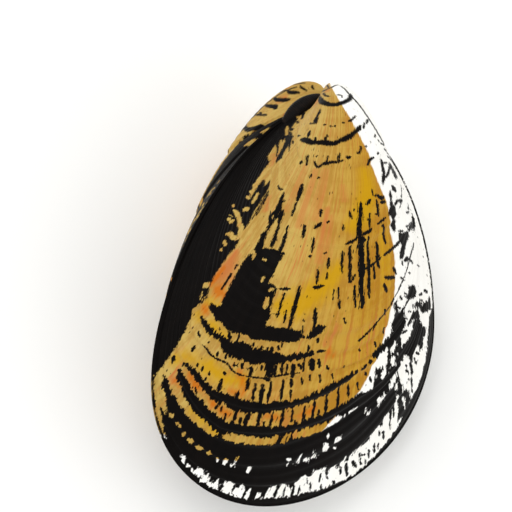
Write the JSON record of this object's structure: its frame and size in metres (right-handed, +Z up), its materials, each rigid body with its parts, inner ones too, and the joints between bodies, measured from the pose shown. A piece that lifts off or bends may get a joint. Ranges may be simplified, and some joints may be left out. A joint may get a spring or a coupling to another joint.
{
  "type": "bivalve shell",
  "caption": "Closed clam shell with both valves together and the dark ligament behind the beaks, lying on its left valve.",
  "frame": {"origin": "on the floor, under the middle of the shell's box as it lies on its left valve", "axes": "+Z up through the lying shell, +Y along its height towards the beaks, +X towards its front end"},
  "size_m": [0.0438, 0.0598, 0.0347],
  "materials": {
    "shell": "aragonite shell, ochre with near-black pigment marks and an ivory edge, satin to glossy",
    "ligament": "dark horny ligament, finely striated, satin"
  },
  "bodies": {
    "root": {"right_valve": "shell", "left_valve": "shell", "ligament": "ligament"}
  },
  "joints": []
}
